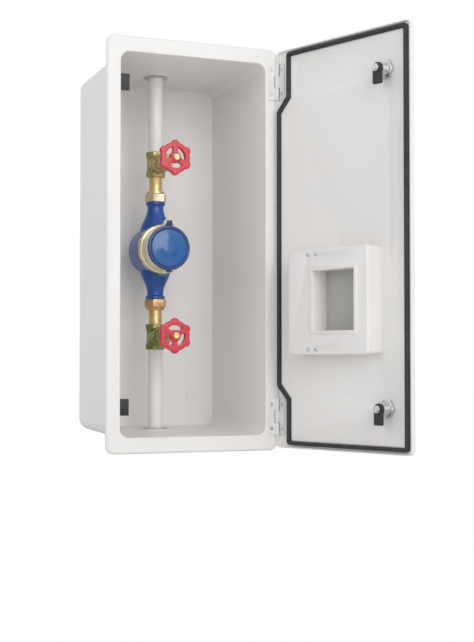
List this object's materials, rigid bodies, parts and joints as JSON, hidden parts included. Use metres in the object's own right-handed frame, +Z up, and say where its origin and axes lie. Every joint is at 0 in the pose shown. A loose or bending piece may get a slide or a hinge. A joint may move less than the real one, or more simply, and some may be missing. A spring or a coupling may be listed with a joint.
{
  "type": "water meter cabinet",
  "caption": "Recessed moulded cabinet with a hinged door, seal and quarter-turn locks, holding a domestic water meter between gate valves.",
  "frame": {"origin": "centre of the back wall's outer face", "axes": "+Y into the wall, +Z up, +X towards the hinge side seen from the front"},
  "size_m": [0.3517, 0.4623, 0.6],
  "materials": {
    "white_moulding": "satin",
    "seal_rubber": "matte",
    "black_plastic": "satin",
    "zinc": "satin",
    "hinge_paint": "satin",
    "grommet_rubber": "matte",
    "washer_rubber": "matte",
    "white_pipe": "satin",
    "valve_brass": "satin",
    "ring_brass": "satin",
    "red_paint": "gloss",
    "blue_paint": "satin",
    "blue_plastic": "gloss",
    "cream_plastic": "satin",
    "star_plastic": "gloss",
    "clear_glass": "clear"
  },
  "bodies": {
    "cabinet": {"enclosure_body": "white_moulding", "upper_catch": "black_plastic", "lower_catch": "black_plastic", "catch_rivets": "zinc", "upper_frame_leaf": "hinge_paint", "lower_frame_leaf": "hinge_paint", "upper_hinge_pin": "zinc", "lower_hinge_pin": "zinc", "frame_leaf_screws": "zinc", "upper_grommet": "grommet_rubber", "lower_grommet": "grommet_rubber", "upper_pipe": "white_pipe", "lower_pipe": "white_pipe", "upper_valve_body": "valve_brass", "lower_valve_body": "valve_brass", "upper_bonnet": "valve_brass", "lower_bonnet": "valve_brass", "gland_nuts": "valve_brass", "upper_tailpiece": "valve_brass", "lower_tailpiece": "valve_brass", "upper_union_nut": "valve_brass", "lower_union_nut": "valve_brass", "union_washers": "washer_rubber", "meter_body": "blue_paint", "measuring_chamber": "cream_plastic", "head_ring": "ring_brass", "register_base": "cream_plastic", "register_dial": "cream_plastic", "register_glass": "clear_glass", "register_hood": "blue_plastic", "lid_pin": "zinc"},
    "door": {"door_panel": "white_moulding", "door_seal": "seal_rubber", "upper_door_leaf": "hinge_paint", "lower_door_leaf": "hinge_paint", "door_leaf_screws": "zinc", "module_base": "white_moulding", "module_cover": "white_moulding", "module_screws": "zinc", "upper_lock_housing": "zinc", "lower_lock_housing": "zinc", "lock_nuts": "zinc"},
    "upper_lock": {"upper_lock_plug": "zinc", "upper_cam": "black_plastic", "upper_cam_nut": "zinc"},
    "lower_lock": {"lower_lock_plug": "zinc", "lower_cam": "black_plastic", "lower_cam_nut": "zinc"},
    "upper_wheel": {"upper_stem": "valve_brass", "upper_handwheel": "red_paint", "upper_wheel_nut": "valve_brass"},
    "lower_wheel": {"lower_stem": "valve_brass", "lower_handwheel": "red_paint", "lower_wheel_nut": "valve_brass"},
    "upper_valve_gate": {"upper_gate": "valve_brass"},
    "lower_valve_gate": {"lower_gate": "valve_brass"},
    "lid": {"meter_lid": "blue_plastic"},
    "impeller_wheel": {"impeller": "cream_plastic", "flow_star": "star_plastic"}
  },
  "joints": [
    {"name": "door_hinge", "type": "hinge", "parent": "cabinet", "child": "door", "pos_m": [0.13025, -0.20915, 0], "axis": [0, 0, 1], "range_deg": [-107.7, 0]},
    {"name": "upper_lock_turn", "type": "hinge", "parent": "door", "child": "upper_lock", "pos_m": [0.20071, -0.41628, 0.2335], "axis": [0.9527, 0.304, 0], "range_deg": [-90, 0]},
    {"name": "lower_lock_turn", "type": "hinge", "parent": "door", "child": "lower_lock", "pos_m": [0.20071, -0.41628, -0.2335], "axis": [0.9527, 0.304, 0], "range_deg": [-90, 0]},
    {"name": "upper_wheel_turn", "type": "hinge", "parent": "cabinet", "child": "upper_wheel", "pos_m": [-0.0143, -0.075, 0.135], "axis": [0, 1, 0], "range_deg": [0, 1620]},
    {"name": "lower_wheel_turn", "type": "hinge", "parent": "cabinet", "child": "lower_wheel", "pos_m": [-0.0143, -0.075, -0.13], "axis": [0, 1, 0], "range_deg": [0, 1620]},
    {"name": "upper_gate_slide", "type": "slide", "parent": "cabinet", "child": "upper_valve_gate", "axis": [0, 1, 0], "range_m": [0, 0.018]},
    {"name": "lower_gate_slide", "type": "slide", "parent": "cabinet", "child": "lower_valve_gate", "axis": [0, 1, 0], "range_m": [0, 0.018]},
    {"name": "lid_hinge", "type": "hinge", "parent": "cabinet", "child": "lid", "pos_m": [-0.0143, -0.1348, 0.041], "axis": [-1, 0, 0], "range_deg": [0, 110]},
    {"name": "impeller_spin", "type": "hinge", "parent": "cabinet", "child": "impeller_wheel", "pos_m": [-0.0143, -0.075, 0.0025], "axis": [0, 1, 0], "continuous": true}
  ],
  "couplings": [
    {"joint": "upper_gate_slide", "follows": "upper_wheel_turn", "m_per_rad": 0.00063662},
    {"joint": "lower_gate_slide", "follows": "lower_wheel_turn", "m_per_rad": 0.00063662}
  ]
}
